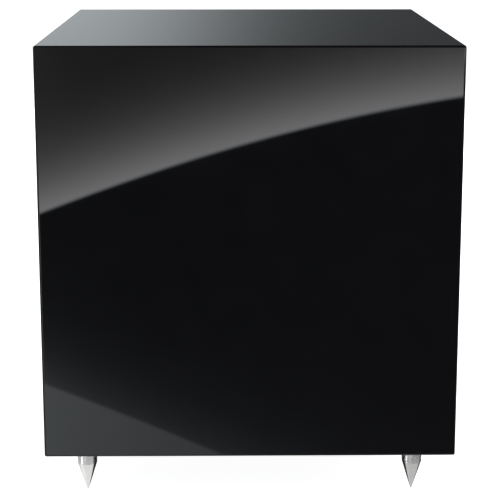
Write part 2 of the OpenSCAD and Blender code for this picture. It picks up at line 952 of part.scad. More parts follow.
module spike_lock_nuts() {
    color("silver")
    at_spikes() translate([0, 0, -insert_rim_t - nut_t]) difference() {
        cylinder(d = nut_af / cos(30), h = nut_t, $fn = 6);
        translate([0, 0, -past]) cylinder(r = stud_r + run_gap, h = nut_t + 2 * past);
    }
}

// ---------- assembly ----------

front_panel();
rear_panel();
left_side_panel();
right_side_panel();
top_panel();
bottom_baffle();
window_brace();
damping_wadding();
driver_basket();
driver_gasket();
surround_trim_ring();
surround();
cone();
dust_cap();
voice_coil_former();
voice_coil();
spider();
top_plate();
ring_magnet();
yoke();
driver_terminals();
tinsel_leads();
driver_bolts();
driver_t_nuts();
amp_plate();
amp_gasket();
amp_screws();
amp_cover();
heatsink();
output_transistors();
main_board();
board_brackets();
mains_transformer();
reservoir_capacitors();
control_board();
rca_barrels();
rca_insulators();
potentiometers();
volume_shaft();
volume_knob();
crossover_shaft();
crossover_knob();
slide_switches();
phase_lever();
mode_lever();
mains_inlet();
inlet_pins();
fuse_drawer();
fuse();
rocker_frame();
power_rocker();
status_led();
speaker_wires();
spike_front_left();
spike_front_right();
spike_rear_left();
spike_rear_right();
spike_inserts();
spike_lock_nuts();
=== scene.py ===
"""Looks of a powered subwoofer: a gloss black cabinet on turned spikes, a driver that
fires down and an amplifier in the rear panel. Everything is in metres, in the CAD frame:
+Z is up, the front faces -Y, and the origin lies under the middle of the object, level
with the spikes' points."""
import json
import math

import bmesh
import bpy
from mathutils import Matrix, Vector


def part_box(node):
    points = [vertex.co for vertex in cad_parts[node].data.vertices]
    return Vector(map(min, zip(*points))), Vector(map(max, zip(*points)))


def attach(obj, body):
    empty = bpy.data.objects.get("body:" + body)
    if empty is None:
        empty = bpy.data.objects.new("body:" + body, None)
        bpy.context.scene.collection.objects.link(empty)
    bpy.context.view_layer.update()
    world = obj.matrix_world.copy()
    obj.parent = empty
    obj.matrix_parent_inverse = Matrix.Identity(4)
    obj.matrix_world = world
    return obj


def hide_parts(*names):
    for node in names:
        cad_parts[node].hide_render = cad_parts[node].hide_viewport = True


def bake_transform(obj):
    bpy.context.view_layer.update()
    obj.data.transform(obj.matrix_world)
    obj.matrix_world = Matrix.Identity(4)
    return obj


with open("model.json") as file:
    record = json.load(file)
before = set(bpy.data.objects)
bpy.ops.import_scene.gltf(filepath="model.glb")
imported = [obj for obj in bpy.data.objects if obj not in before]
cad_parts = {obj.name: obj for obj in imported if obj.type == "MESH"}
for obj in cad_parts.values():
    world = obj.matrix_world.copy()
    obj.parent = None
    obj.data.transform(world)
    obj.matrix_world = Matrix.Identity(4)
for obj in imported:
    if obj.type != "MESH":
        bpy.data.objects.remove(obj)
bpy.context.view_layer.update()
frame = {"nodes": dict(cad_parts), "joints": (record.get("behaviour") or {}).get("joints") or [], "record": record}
scene = bpy.context.scene
scene.view_settings.view_transform = "Standard"
MM = 0.001

# ---------- places worked out from the frame ----------

front_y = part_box("front_panel")[0].y
rear_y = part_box("rear_panel")[1].y
base_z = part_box("bottom_baffle")[0].z
top_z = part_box("top_panel")[1].z
cabinet_low = Vector((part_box("left_side_panel")[0].x, front_y, base_z))
cabinet_high = Vector((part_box("right_side_panel")[1].x, rear_y, top_z))
cabinet_size = cabinet_high - cabinet_low
axis_y = (front_y + rear_y) / 2  # the driver's axis and the cabinet's middle
EDGE_R = 2 * MM  # radius on the cabinet's outer edges


def middle(node):
    """Centre of a CAD node's box."""
    low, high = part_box(node)
    return (low + high) / 2


# ---------- camera ----------

CAMERA_AHEAD = 1.269  # in front of the front face
CAMERA_ABOVE = 0.499  # over the cabinet's underside
CAMERA_SIDE = -0.014  # along X, from the object's middle
CAMERA_DOWN_DEG = 11.71
CAMERA_TURN_DEG = -0.63
LENS_MM, SENSOR_MM = 107.4, 36
SHIFT = -0.1
camera_place = Vector((CAMERA_SIDE, front_y - CAMERA_AHEAD, base_z + CAMERA_ABOVE))


def make_camera():
    """Camera at the photograph's viewing angle, with a little downward shift."""
    data = bpy.data.cameras.new("camera")
    data.sensor_width = SENSOR_MM
    data.lens = LENS_MM
    data.shift_y = SHIFT
    camera = bpy.data.objects.new("camera", data)
    camera.location = camera_place
    camera.rotation_euler = (math.radians(90 - CAMERA_DOWN_DEG), 0, math.radians(CAMERA_TURN_DEG))
    scene.collection.objects.link(camera)
    scene.camera = camera


# ---------- shader trees ----------


class Tree:
    """Builds a shader tree, or adds to one. A value is a number, a tuple or a socket."""

    def __init__(self, owner, clear=True):
        owner.use_nodes = True
        self.nodes = owner.node_tree.nodes
        self.links = owner.node_tree.links
        if clear:
            self.nodes.clear()

    def shader(self):
        """The tree's Principled shader."""
        return next(node for node in self.nodes if node.type == "BSDF_PRINCIPLED")

    def place(self):
        """X, Y and Z of the point, in its object."""
        spot = self.add("ShaderNodeTexCoord").outputs["Object"]
        return self.add("ShaderNodeSeparateXYZ", spot).outputs

    def put(self, socket, value):
        """Links an output socket to an input socket, or sets the input to a value."""
        if isinstance(value, bpy.types.NodeSocket):
            self.links.new(value, socket)
        else:
            socket.default_value = value

    def add(self, kind, *values, **settings):
        """Node of that kind: values fill its first inputs, settings its properties."""
        node = self.nodes.new(kind)
        for name, value in settings.items():
            setattr(node, name, value)
        for socket, value in zip(node.inputs, values):
            if value is not None:
                self.put(socket, value)
        return node

    def math(self, operation, *values):
        """Result of a Math node."""
        return self.add("ShaderNodeMath", *values, operation=operation).outputs[0]

    def plus(self, a, b):
        return self.math("ADD", a, b)

    def minus(self, a, b):
        return self.math("SUBTRACT", a, b)

    def times(self, a, b):
        return self.math("MULTIPLY", a, b)

    def scaled(self, value, factor, offset):
        """The value times a factor, plus an offset."""
        return self.math("MULTIPLY_ADD", value, factor, offset)

    def length(self, a, b):
        """Distance of the point (a, b) from the origin."""
        return self.math("SQRT", self.plus(self.times(a, a), self.times(b, b)))

    def step(self, value, low, high, to_low=0.0, to_high=1.0):
        """Smooth change from to_low to to_high as value goes from low to high."""
        ends = (low, high, to_low, to_high)
        return self.add("ShaderNodeMapRange", value, *ends, interpolation_type="SMOOTHSTEP").outputs[0]

    def below(self, value, line, soft):
        """1 below the line and 0 above it, with a soft edge that wide. A negative width
        turns it round: 0 below the line and 1 above it."""
        return self.step(value, line + soft / 2, line - soft / 2)

    def fade(self, distance, length, power=1.0):
        """1 at distance 0 and below, falling as exp(-(distance / length) ** power)."""
        ahead = self.math("MAXIMUM", distance, 0.0)
        bent = self.math("POWER", self.times(ahead, 1 / length), power)
        return self.math("EXPONENT", self.times(bent, -1.0))

    def mix(self, share, color_a, color_b):
        """Colour between two colours."""
        node = self.add("ShaderNodeMix", share, data_type="RGBA")
        self.put(node.inputs[6], color_a)
        self.put(node.inputs[7], color_b)
        return node.outputs[2]


# ---------- studio ----------

# The studio is a dark room with soft light panels. Their edges are given where the front
# face mirrors them: "across" runs from 0 at its left edge to 1 at its right edge, and
# "down" from 0 at its top edge to 1 at its bottom edge. "Rise" is a direction's slope. The
# pairs of numbers in a step are where a light starts to change and where it has changed.
PANEL_START = 0.3918  # the curved panel's edge at across 0
PANEL_SLOPE = -0.3827
PANEL_CURVE = 0.0998
PANEL_EDGE = 0.013  # width of its soft edge
PANEL_LIGHT = 3.4
PANEL_FADE, PANEL_POWER = 0.0894, 1.25  # how it falls off above its edge
PANEL_TAIL = 0.12  # what is left of it far above its edge
PANEL_LEFT, PANEL_LEFT_FADE = 0.17, 0.08  # what it has over that at its left edge
STRIP_START = 0.7975  # the low panel's straight edge at across 0
STRIP_SLOPE = 0.457
STRIP_EDGE = 0.012
STRIP_LIGHT = 1.3
STRIP_FADE = 0.75  # towards the right
STRIP_END = (0.45, 0.25)  # it fades out that far below its edge
STRIP_LEFT = (-0.35, -0.05, 0.6, 1.0)  # left of the front face it is weaker
HAZE_LIGHT = 0.30  # above the low panel
HAZE_LEFT_FADE = 0.12
HAZE_FADE = 0.085  # upwards
ROOM_DARK = 0.03
REAR_LIGHT = 0.58  # long panel behind on the left, mirrored by the top face
REAR_EDGE = -0.033
REAR_SOFT = 0.037
REAR_LEAST = 0.03  # on its dark right side
SQUARE_ON = (0.93, 0.975)  # cosines from a side's axis between which its softbox comes in
BOX_LIGHT = 0.9  # softboxes beside and behind
CORNER_LIGHT = 1.1  # softboxes behind the two rear corners
CORNER_TAIL = 0.25  # what is left of them far above their lower edge
CORNER_FADE = 0.07
CORNER_EDGE = -0.54  # rise of that edge, as a line over the sideways part of a direction
CORNER_SLOPE = 0.38
TOP_LIGHT = 0.4  # softboxes above two corners
FLOOR_GLOW = 0.8  # how bright the floor is in reflections from steeply above
BRIGHTEST = 6.0
SHORTEST = 0.02  # keeps the divisions below from running away
COOL_TINT = (0.93, 1.0, 1.03, 1)
PLAIN_TINT = (0.99, 0.99, 1.01, 1)  # the curved panel's


def curved_panel(tree, across, down):
    """Light of the curved panel, and the share of it that each direction lies in."""
    bend = tree.times(tree.times(across, across), PANEL_CURVE)
    edge = tree.plus(tree.scaled(across, PANEL_SLOPE, PANEL_START), bend)
    above = tree.minus(edge, down)
    inside = tree.step(above, -PANEL_EDGE / 2, PANEL_EDGE / 2)
    light = tree.scaled(tree.fade(above, PANEL_FADE, PANEL_POWER), PANEL_LIGHT, PANEL_TAIL)
    light = tree.plus(light, tree.times(tree.fade(across, PANEL_LEFT_FADE), PANEL_LEFT))
    return tree.times(light, inside), inside


def low_panel(tree, across, down):
    """Light of the low panel at the left, and of the haze above its straight edge."""
    below = tree.minus(down, tree.scaled(across, STRIP_SLOPE, STRIP_START))
    lit = tree.step(below, -STRIP_EDGE / 2, STRIP_EDGE / 2)
    strip = tree.times(tree.fade(across, STRIP_FADE), STRIP_LIGHT)
    haze = tree.scaled(tree.fade(across, HAZE_LEFT_FADE), HAZE_LIGHT, HAZE_LIGHT)
    haze = tree.times(haze, tree.fade(tree.times(below, -1.0), HAZE_FADE))
    light = tree.plus(tree.times(strip, lit), tree.times(haze, tree.minus(1.0, lit)))
    light = tree.times(light, tree.step(below, *STRIP_END))
    return tree.times(light, tree.step(across, *STRIP_LEFT))


def side_panels(tree, to_rear, diagonal, rise):
    """Light of the curved and the low panel, which stand on all four sides, and where
    the curved one lies."""
    # minus the diagonal is half the sine of twice the angle from the front: it is near
    # the angle itself for small angles, and repeats on each side without a seam
    width, height = cabinet_size.x, cabinet_size.z
    across = tree.scaled(diagonal, -CAMERA_AHEAD / width, (camera_place.x - cabinet_low.x) / width)
    down = tree.scaled(rise, -CAMERA_AHEAD / height, (top_z - camera_place.z) / height)
    curved, inside = curved_panel(tree, across, down)
    light = tree.plus(curved, low_panel(tree, across, down))
    # full light in front, weaker at the sides and behind; it ends lower towards the rear
    ceiling = tree.step(to_rear, 0.0, -0.2, 0.06, 0.9)
    light = tree.times(light, tree.step(tree.minus(rise, ceiling), 0.0, -0.1))
    in_front = tree.step(to_rear, -0.6, -0.9, 0.3, 1.0)
    behind = tree.step(to_rear, 0.75, 0.97, 0.0, 0.3)
    return tree.times(light, tree.plus(in_front, behind)), inside


def long_panel(tree, x, y, rise):
    """Light of the long panel behind, bright on its left."""
    sideways = tree.math("DIVIDE", x, tree.math("MAXIMUM", y, SHORTEST))
    slope = tree.times(tree.minus(sideways, REAR_EDGE), 1 / REAR_SOFT)
    bright = tree.math("DIVIDE", 1.0, tree.plus(1.0, tree.math("EXPONENT", slope)))
    light = tree.times(tree.scaled(bright, REAR_LIGHT, REAR_LEAST), tree.step(rise, 0.02, 0.06))
    light = tree.times(light, tree.step(rise, 0.24, 0.14))
    return tree.times(light, tree.step(y, 0.0, 0.2))


def square_softboxes(tree, to_side, to_rear, rise):
    """Light of the softboxes beside the cabinet and low behind it."""
    beside = tree.times(tree.step(to_side, *SQUARE_ON), tree.step(rise, -0.09, -0.05))
    beside = tree.times(beside, tree.step(rise, 0.9, 0.1, 0.35, BOX_LIGHT))
    behind = tree.times(tree.step(to_rear, *SQUARE_ON), tree.step(rise, -0.02, -0.09))
    behind = tree.times(tree.times(behind, tree.step(rise, -0.5, -0.12)), BOX_LIGHT)
    return tree.plus(beside, behind)


def corner_softboxes(tree, to_side, to_rear, diagonal, rise):
    """Light of the softboxes high over two corners, which the top mirrors, and behind
    both rear corners, with a slanting lower edge that the rear mirrors."""
    overhead = tree.times(tree.step(rise, 0.16, 0.3), tree.step(rise, 1.0, 0.55))
    overhead = tree.times(overhead, tree.step(diagonal, -0.26, -0.40))
    above_edge = tree.minus(rise, tree.scaled(to_side, CORNER_SLOPE, CORNER_EDGE))
    behind = tree.scaled(tree.fade(above_edge, CORNER_FADE), CORNER_LIGHT, CORNER_TAIL)
    behind = tree.times(behind, tree.step(above_edge, -0.004, 0.004))
    behind = tree.times(behind, tree.step(rise, 0.2, 0.02))
    near_corner = tree.step(tree.math("ABSOLUTE", diagonal), 0.30, 0.40)
    near_corner = tree.times(near_corner, tree.step(to_rear, 0.3, 0.5))
    return tree.plus(tree.times(overhead, TOP_LIGHT), tree.times(near_corner, behind))


def studio_light(tree):
    """Brightness and tint of the studio in every direction, as sockets."""
    direction = tree.add("ShaderNodeTexCoord").outputs["Generated"]
    x, y, z = tree.add("ShaderNodeSeparateXYZ", direction).outputs
    level = tree.math("MAXIMUM", tree.length(x, y), SHORTEST)
    rise = tree.math("DIVIDE", z, level)
    to_rear = tree.math("DIVIDE", y, level)
    to_side = tree.math("ABSOLUTE", tree.math("DIVIDE", x, level))
    diagonal = tree.math("DIVIDE", tree.times(x, y), tree.times(level, level))

    total, inside = side_panels(tree, to_rear, diagonal, rise)
    total = tree.plus(total, long_panel(tree, x, y, rise))
    total = tree.plus(total, square_softboxes(tree, to_side, to_rear, rise))
    total = tree.plus(total, corner_softboxes(tree, to_side, to_rear, diagonal, rise))
    floor = tree.times(tree.step(rise, -0.65, -1.7), FLOOR_GLOW)
    total = tree.plus(total, tree.plus(floor, ROOM_DARK))
    tint = tree.mix(tree.times(inside, tree.step(y, 0.2, 0.0)), COOL_TINT, PLAIN_TINT)
    return tree.math("MINIMUM", total, BRIGHTEST), tint


def make_world():
    """The studio in reflections and as light, and plain white behind the object."""
    world = bpy.data.worlds.new("studio")
    scene.world = world
    tree = Tree(world)
    white = tree.add("ShaderNodeBackground", (1, 1, 1, 1), 1.0)
    light, tint = studio_light(tree)
    room = tree.add("ShaderNodeBackground", tint, light)
    seen = tree.add("ShaderNodeLightPath").outputs["Is Camera Ray"]
    mix = tree.add("ShaderNodeMixShader", seen, room.outputs[0], white.outputs[0])
    tree.add("ShaderNodeOutputWorld", mix.outputs[0])


FLOOR_GAP = 0.2 * MM  # under the lowest place of a spike's point


def make_floor():
    """Pale floor that stays near white and takes only faint shadows. It lies low enough
    for the spikes to be screwed out without going through it."""
    bpy.ops.mesh.primitive_plane_add(size=60)
    floor = bpy.context.object
    floor.name = "floor"
    travel = max(row["range_m"][1] for row in frame["joints"] if row["child"].startswith("spike_"))
    floor.location.z = -travel - FLOOR_GAP
    material = bpy.data.materials.new("pale_floor")
    tree = Tree(material)
    grain = tree.add("ShaderNodeTexNoise", None, None, 3.0).outputs[0]
    pale = tree.mix(grain, (0.80, 0.80, 0.80, 1), (0.84, 0.84, 0.84, 1))
    matt = tree.add("ShaderNodeBsdfDiffuse", pale)
    x, y = tree.place()[:2]
    white = tree.step(tree.length(x, y), 0.8, 3.0, 0.92, 1.0)  # whiter away from the object
    glow = tree.add("ShaderNodeEmission", (1, 1, 1, 1), white)
    both = tree.add("ShaderNodeAddShader", matt.outputs[0], glow.outputs[0])
    tree.add("ShaderNodeOutputMaterial", both.outputs[0])
    floor.data.materials.append(material)
    # reflections see the painted floor reflection card instead of this floor
    floor.visible_glossy = False


CARD_REACH = 0.05  # how far the painted floor reflection stays bright past the cabinet's footprint
CARD_SOFT = 0.03
CARD_NEAR = 0.95  # painted reflection of the lit floor close to a foot, which the points mirror
CARD_FAR = 0.66  # painted reflection of the floor further out, which the collars mirror
CARD_TURNS = (0.025, 0.05)  # distances from a foot between which near turns into far
CARD_LEFT, CARD_RIGHT = 0.94, 0.6  # share of it on each half: the dimmer right half is painted shade on the right feet
CARD_HALVES = 0.06  # half the width over which the halves turn into each other
CARD_LEAST = 0.01  # brightness of its painted shade
CARD_LIFT = 0.4 * MM  # over the plane through the spikes' points
MIDDLE_PAINTED_SHADE = 100 * MM  # half the width of the painted shade between the feet, where the floor lies under the cabinet
MIDDLE_PAST = 25 * MM  # how far that zone runs past the feet
MIDDLE_SOFT = 8 * MM
INNER_SIDE, INNER_BACK = 3 * MM, 1.3 * MM  # from a foot's axis to the painted shade behind it
OUTER_SIDE, OUTER_BACK = 5 * MM, 7 * MM  # the same on the right feet's outer side
EDGE_SOFT = 1 * MM


def painted_reflection_light(tree, x, y):
    """Brightness of the painted floor reflection, over x and y from its middle: lit floor near the feet, painted
    shade under the cabinet.
    """
    foot_x = middle("spike_front_right").x
    foot_y = axis_y - middle("spike_front_right").y
    across, along = tree.math("ABSOLUTE", x), tree.math("ABSOLUTE", y)
    # painted shade of the floor under the cabinet: between the feet, behind each foot on its inner side, and
    # further behind on the right feet's outer side
    wide = tree.below(along, foot_y + MIDDLE_PAST, MIDDLE_SOFT)
    wide = tree.times(wide, tree.below(across, MIDDLE_PAINTED_SHADE, MIDDLE_SOFT))
    deep = tree.below(along, foot_y - INNER_BACK, EDGE_SOFT)
    deep = tree.times(deep, tree.below(across, foot_x - INNER_SIDE, EDGE_SOFT))
    outer = tree.below(along, foot_y - OUTER_BACK, 2 * EDGE_SOFT)
    outer = tree.times(outer, tree.below(x, foot_x + OUTER_SIDE, -EDGE_SOFT))
    painted_shade = tree.math("MAXIMUM", tree.math("MAXIMUM", wide, deep), outer)
    away = tree.length(tree.minus(across, foot_x), tree.minus(along, foot_y))
    light = tree.step(away, *CARD_TURNS, CARD_NEAR, CARD_FAR)
    light = tree.times(light, tree.minus(1.0, painted_shade))
    # painted shade: the right half of the card is dimmer, so the right feet reflect less light
    light = tree.times(light, tree.step(x, -CARD_HALVES, CARD_HALVES, CARD_LEFT, CARD_RIGHT))
    return tree.plus(light, CARD_LEAST)


def make_painted_floor_reflection():
    """Glowing card level with the spikes' points that only reflections see: a painted reflection of the lit floor,
    with painted shade under the cabinet. It paints a shaded band on each foot's inner side."""
    bpy.ops.mesh.primitive_plane_add(size=1.0)
    card = bpy.context.object
    card.name = "painted_floor_reflection"
    card.location = (0, axis_y, CARD_LIFT)
    material = bpy.data.materials.new("painted_floor_reflection")
    tree = Tree(material)
    x, y = tree.place()[:2]
    past_side = tree.scaled(tree.math("ABSOLUTE", x), 1.0, -cabinet_size.x / 2)
    past_end = tree.scaled(tree.math("ABSOLUTE", y), 1.0, -cabinet_size.y / 2)
    past = tree.math("MAXIMUM", past_side, past_end)
    near = tree.step(past, CARD_REACH + CARD_SOFT, CARD_REACH)
    glow = tree.add("ShaderNodeEmission", (1, 1, 1, 1), painted_reflection_light(tree, x, y))
    clear = tree.add("ShaderNodeBsdfTransparent")
    faded = tree.add("ShaderNodeMixShader", near, clear.outputs[0], glow.outputs[0])
    tree.add("ShaderNodeOutputMaterial", faded.outputs[0])
    card.data.materials.append(material)
    card.visible_camera = False
    card.visible_diffuse = False
    card.visible_shadow = False
    card.visible_transmission = False


def area_light(name, place, aim, size, power, seen_in_gloss=False):
    """Rectangular light at a place, turned towards a point."""
    data = bpy.data.lights.new(name, "AREA")
    data.shape = "RECTANGLE"
    data.size, data.size_y = size
    data.energy = power
    light = bpy.data.objects.new(name, data)
    light.location = place
    light.rotation_euler = (Vector(aim) - Vector(place)).to_track_quat("-Z", "Y").to_euler()
    light.visible_glossy = seen_in_gloss
    light.visible_camera = False
    scene.collection.objects.link(light)
    return light


def make_lights():
    """Soft lights on the whole object, and a strip that only the collection of feet
    takes. Returns that collection."""
    centre = (0, 0, 0.2)
    area_light("key", (-1.1, -1.3, 2.3), centre, (2.2, 2.2), 42)
    area_light("fill", (1.6, -0.9, 1.6), centre, (2.0, 2.0), 20)
    area_light("back", (0.6, 2.2, 1.5), centre, (2.2, 1.6), 60)
    # tall strip that puts a bright line down the left of each turned collar
    strip = area_light("strip", (-1.03, -0.66, 0.42), (-0.1, -0.17, 0.1), (0.26, 0.8), 18, True)
    strip.visible_diffuse = False
    feet = bpy.data.collections.new("feet")
    strip.light_linking.receiver_collection = feet
    return feet


# ---------- materials ----------


def finish(
    name, color, rough, metal=0.0, vary=0.25, grain=400.0, bump=0.0,
    stretch=(1, 1, 1), rough_vary=0.25, **fixed
):
    """Material whose colour, roughness and relief vary with a fine and a coarse noise.
    vary and rough_vary are shares of the colour and roughness, bump a height in metres,
    grain the number of specks per metre, and fixed sets other sockets of the shader."""
    material = bpy.data.materials.new(name)
    tree = Tree(material)
    place = tree.add("ShaderNodeTexCoord").outputs["Object"]
    spread = tree.add("ShaderNodeMapping", place).outputs[0]
    spread.node.inputs["Scale"].default_value = stretch
    fine = tree.add("ShaderNodeTexNoise", spread, None, grain, 4.0).outputs[0]
    coarse = tree.add("ShaderNodeTexNoise", spread, None, grain / 14, 2.0).outputs[0]
    both = tree.math("ADD", tree.times(fine, 0.6), tree.times(coarse, 0.4))
    share = tree.step(both, 0.3, 0.7)
    low_color = tuple(c * (1 - vary) for c in color) + (1,)
    high_color = tuple(min(1, c * (1 + vary)) for c in color) + (1,)
    shader = tree.add("ShaderNodeBsdfPrincipled", tree.mix(share, low_color, high_color), metal)
    roughness = tree.step(both, 0.3, 0.7, rough * (1 - rough_vary), rough * (1 + rough_vary))
    tree.put(shader.inputs["Roughness"], roughness)
    if bump:
        relief = tree.add("ShaderNodeBump", 1.0, bump)
        tree.put(relief.inputs["Height"], fine)
        tree.put(shader.inputs["Normal"], relief.outputs[0])
    for socket, value in fixed.items():
        shader.inputs[socket.replace("_", " ")].default_value = value
    tree.add("ShaderNodeOutputMaterial", shader.outputs[0])
    return material


def banded(material, edges, colors):
    """Multiplies a material's colour by one of several colours, chosen along X."""
    tree = Tree(material, clear=False)
    x = tree.place()[0]
    band = colors[0] + (1,)
    for edge, color in zip(edges, colors[1:]):
        band = tree.mix(tree.math("GREATER_THAN", x, edge), band, color + (1,))
    base = tree.shader().inputs["Base Color"]
    product = tree.add("ShaderNodeMix", 1.0, data_type="RGBA", blend_type="MULTIPLY")
    tree.put(product.inputs[6], base.links[0].from_socket)
    tree.put(product.inputs[7], band)
    tree.put(base, product.outputs[2])
    return material


# how a finish's specks are drawn out
ALONG_X = (0.02, 1, 1)
ALONG_Z = (1, 1, 0.05)
ROUND_Z = (0.05, 0.05, 1)


def turned_metal(name, color, rough, anisotropic):
    """Metal with fine turning marks round Z, which draw highlights out along Z."""
    fixed = {"Anisotropic": anisotropic, "Anisotropic_Rotation": 0.25}
    material = finish(name, color, rough, 1, 0.04, 1600.0, 0.000003, ROUND_Z, 0.1, **fixed)
    tree = Tree(material, clear=False)
    tangent = tree.add("ShaderNodeTangent", direction_type="RADIAL", axis="Z")
    tree.put(tree.shader().inputs["Tangent"], tangent.outputs[0])
    return material


def paint(piece, material):
    """Gives the whole piece one material."""
    piece.data.materials.clear()
    piece.data.materials.append(material)


slot_color = {row["slot"]: tuple(row["base_color"][:3]) for row in frame["record"]["materials"]}


def slot_finish(slot, *rest, **more):
    """Finish in the colour that the record gives the slot."""
    return finish(slot + "_finish", slot_color[slot], *rest, **more)


PIANO_BLACK = (0.0028, 0.0028, 0.0033)
BLUE = (0.1, 0.35, 1, 1)
# slot, or name and colour; roughness, metal, colour variation, specks per metre, relief
looks = {
    "cabinet_lacquer": finish("piano_lacquer", PIANO_BLACK, 0.012, 0, 0.15, 40.0, rough_vary=0.1),
    "raw_mdf": slot_finish("raw_mdf", 0.85, 0, 0.14, 1500.0, 0.0001),
    "wadding": slot_finish("wadding", 0.95, 0, 0.12, 260.0, 0.0015, Sheen_Weight=0.4),
    "cast_basket": slot_finish("cast_basket", 0.45, 0, 0.2, 900.0, 0.00006),
    "black_rubber": slot_finish("black_rubber", 0.55, 0, 0.2, 800.0, 0.00003),
    "cone_paper": slot_finish("cone_paper", 0.8, 0, 0.35, 600.0, 0.00015),
    "former_foil": slot_finish("former_foil", 0.3, 1, 0.08, 120.0),
    "copper_winding": slot_finish("copper_winding", 0.3, 1, 0.2, 2600.0, 0.00008, ROUND_Z),
    "spider_cloth": slot_finish("spider_cloth", 0.9, 0, 0.25, 1800.0, 0.0002, Sheen_Weight=0.3),
    "plated_steel": slot_finish("plated_steel", 0.28, 1, 0.08, 300.0, 0.000004),
    "ferrite": slot_finish("ferrite", 0.62, 0, 0.25, 900.0, 0.00005),
    "terminal_board": slot_finish("terminal_board", 0.5, 0, 0.2, 500.0),
    "tinned_braid": slot_finish("tinned_braid", 0.38, 1, 0.3, 3200.0, 0.0001),
    "black_steel": slot_finish("black_steel", 0.34, 0.6, 0.15, 900.0, 0.00001),
    "plate_black": slot_finish("plate_black", 0.36, 0.55, 0.16, 3000.0, 0.000012, ALONG_X),
    "sink_black": slot_finish("sink_black", 0.34, 0.5, 0.2, 1400.0, 0.00001, ALONG_Z),
    "galvanised_steel": slot_finish("galvanised_steel", 0.35, 1, 0.18, 90.0),
    "epoxy_black": slot_finish("epoxy_black", 0.6, 0, 0.15, 1200.0, 0.00003),
    "circuit_board": slot_finish("circuit_board", 0.3, 0, 0.3, 350.0),
    "winding_tape": slot_finish("winding_tape", 0.35, 0, 0.1, 200.0),
    "capacitor_sleeve": slot_finish("capacitor_sleeve", 0.22, 0, 0.1, 150.0),
    "gold_plate": slot_finish("gold_plate", 0.14, 1, 0.06, 400.0),
    "jack_plastic": slot_finish("jack_plastic", 0.38, 0, 0.04, 900.0),
    "bare_steel": slot_finish("bare_steel", 0.3, 1, 0.1, 900.0),
    "knob_plastic": slot_finish("knob_plastic", 0.42, 0, 0.12, 2600.0, 0.00002),
    "switch_plastic": slot_finish("switch_plastic", 0.45, 0, 0.12, 2200.0, 0.00002),
    "inlet_plastic": slot_finish("inlet_plastic", 0.4, 0, 0.12, 2200.0, 0.00002),
    "nickel": slot_finish("nickel", 0.16, 1, 0.05, 500.0),
    "fuse_glass": slot_finish("fuse_glass", 0.05, 0, 0.03, 200.0, Transmission_Weight=1.0),
    "rocker_plastic": slot_finish("rocker_plastic", 0.2, 0, 0.1, 900.0),
    "led_lens": slot_finish("led_lens", 0.12, 0, 0.05, 900.0, Emission_Color=BLUE, Emission_Strength=1.5),
    "wire_sleeve": slot_finish("wire_sleeve", 0.45, 0, 0.1, 600.0),
    "spike_steel": turned_metal("turned_steel", (0.84, 0.84, 0.83), 0.26, 0.85),
    "insert_brass": slot_finish("insert_brass", 0.25, 1, 0.1, 500.0),
}


# white, red and grey tell the left, right and subwoofer inputs apart; +X is on the left
# when the panel is seen from behind
JACK_PITCH = 26 * MM
jack_edges = [middle("rca_barrels").x + side * JACK_PITCH / 2 for side in (-1, 1)]
jack_colors = [(0.22, 0.22, 0.24), (0.95, 0.05, 0.04), (1.0, 1.0, 1.0)]
jack_look = banded(slot_finish("jack_plastic", 0.36, 0, 0.04, 901.0), jack_edges, jack_colors)
print_white = finish("print_white", (0.72, 0.72, 0.70), 0.5, 0, 0.06, 1500.0)
print_grey = finish("print_grey", (0.36, 0.37, 0.38), 0.5, 0, 0.06, 1500.0)


def paint_cad_nodes():
    """Gives every CAD node the look of its slot in the record."""
    for row in frame["record"]["subparts"]:
        paint(frame["nodes"][row["node"]], looks[row["material_slot"]])
    paint(frame["nodes"]["rca_insulators"], jack_look)


# ---------- mesh helpers ----------


def piece_from(name, mesh_data):
    """Links a finished bmesh as an object of that name."""
    mesh = bpy.data.meshes.new(name)
    mesh_data.to_mesh(mesh)
    mesh_data.free()
    piece = bpy.data.objects.new(name, mesh)
    scene.collection.objects.link(piece)
    return piece


def smooth(piece, sharp_deg=35):
    """Smooth shading that keeps edges sharper than that angle and flat faces flat."""
    piece.data.shade_smooth()
    piece.data.set_sharp_from_angle(angle=math.radians(sharp_deg))
    weighted = piece.modifiers.new("flat_faces", "WEIGHTED_NORMAL")
    weighted.keep_sharp = True
    weighted.weight = 100


def settle(piece):
    """Applies every modifier of a piece."""
    graph = bpy.context.evaluated_depsgraph_get()
    graph.update()
    mesh = bpy.data.meshes.new_from_object(piece.evaluated_get(graph))
    piece.modifiers.clear()
    piece.data = mesh


def soften(node, width, segments=2):
    """Rounds the sharp edges of a CAD node with modifiers."""
    piece = frame["nodes"][node]
    weld = piece.modifiers.new("weld", "WELD")
    weld.merge_threshold = 0.005 * MM
    bevel = piece.modifiers.new("soft_edges", "BEVEL")
    bevel.width = width
    bevel.segments = segments
    bevel.limit_method = "ANGLE"
    bevel.angle_limit = math.radians(40)
    flat = piece.modifiers.new("flat_faces", "WEIGHTED_NORMAL")
    flat.keep_sharp = True
    flat.weight = 100


def finished(piece, body, slot, *replaced, look=None):
    """Paints a new piece, hangs it on its body's empty if it is given one, and hides the CAD nodes it replaces."""
    paint(piece, look or looks[slot])
    if body:
        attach(piece, body)
    if replaced:
        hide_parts(*replaced)
    return piece


def rounded_block(name, low, high, radius, segments=6):
    """Box with round edges."""
    work = bmesh.new()
    bmesh.ops.create_cube(work, size=1)
    low, high = Vector(low), Vector(high)
    for vert in work.verts:
        vert.co = Vector(low[i] + (vert.co[i] + 0.5) * (high[i] - low[i]) for i in range(3))
    if radius:
        bmesh.ops.bevel(
            work, geom=work.edges[:], offset=radius, segments=segments,
            profile=0.5, affect="EDGES", clamp_overlap=False,
        )
    return piece_from(name, work)


